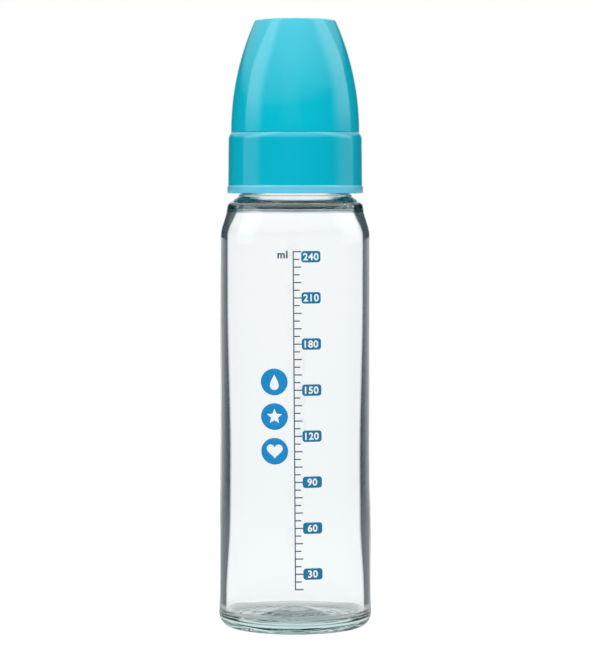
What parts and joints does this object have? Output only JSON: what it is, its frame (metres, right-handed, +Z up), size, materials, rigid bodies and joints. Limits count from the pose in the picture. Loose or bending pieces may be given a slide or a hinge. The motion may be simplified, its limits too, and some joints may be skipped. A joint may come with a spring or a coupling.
{
  "type": "baby bottle",
  "caption": "Slim straight glass feeding bottle with a printed volume scale, silicone teat, turquoise screw ring and a tapered push-on hood.",
  "frame": {"origin": "centre of the base, on the surface that the bottle stands on", "axes": "+Z up along the bottle's axis, -Y out of the side with the printed scale, +X to the right of the scale as it is read"},
  "size_m": [0.0553, 0.0552, 0.218],
  "materials": {
    "glass": "clear polished",
    "silicone": "translucent satin silicone",
    "ring_plastic": "glossy moulded",
    "hood_plastic": "glossy moulded",
    "enamel_slate": "fired enamel print",
    "enamel_teal": "fired enamel print",
    "enamel_blue": "fired enamel print"
  },
  "bodies": {
    "bottle": {"glass_bottle": "glass", "scale_marks": "enamel_slate", "badge_30": "enamel_teal", "badge_60": "enamel_teal", "badge_90": "enamel_teal", "badge_120": "enamel_teal", "badge_150": "enamel_teal", "badge_180": "enamel_teal", "badge_210": "enamel_teal", "badge_240": "enamel_teal", "motif_low": "enamel_blue", "motif_middle": "enamel_blue", "motif_high": "enamel_blue"},
    "teat": {"silicone_teat": "silicone"},
    "ring": {"screw_ring": "ring_plastic"},
    "hood": {"hood": "hood_plastic"}
  },
  "joints": [
    {"name": "ring_rise", "type": "slide", "parent": "bottle", "child": "teat", "axis": [0, 0, 1], "range_m": [0, 0.0211]},
    {"name": "ring_turn", "type": "hinge", "parent": "teat", "child": "ring", "pos_m": [0, 0, 0.16], "axis": [0, 0, 1], "range_deg": [0, 1800]},
    {"name": "hood_lift", "type": "slide", "parent": "ring", "child": "hood", "axis": [0, 0, 1], "range_m": [0, 0.045]}
  ],
  "couplings": [
    {"joint": "ring_rise", "follows": "ring_turn", "m_per_rad": 0.00066845}
  ]
}
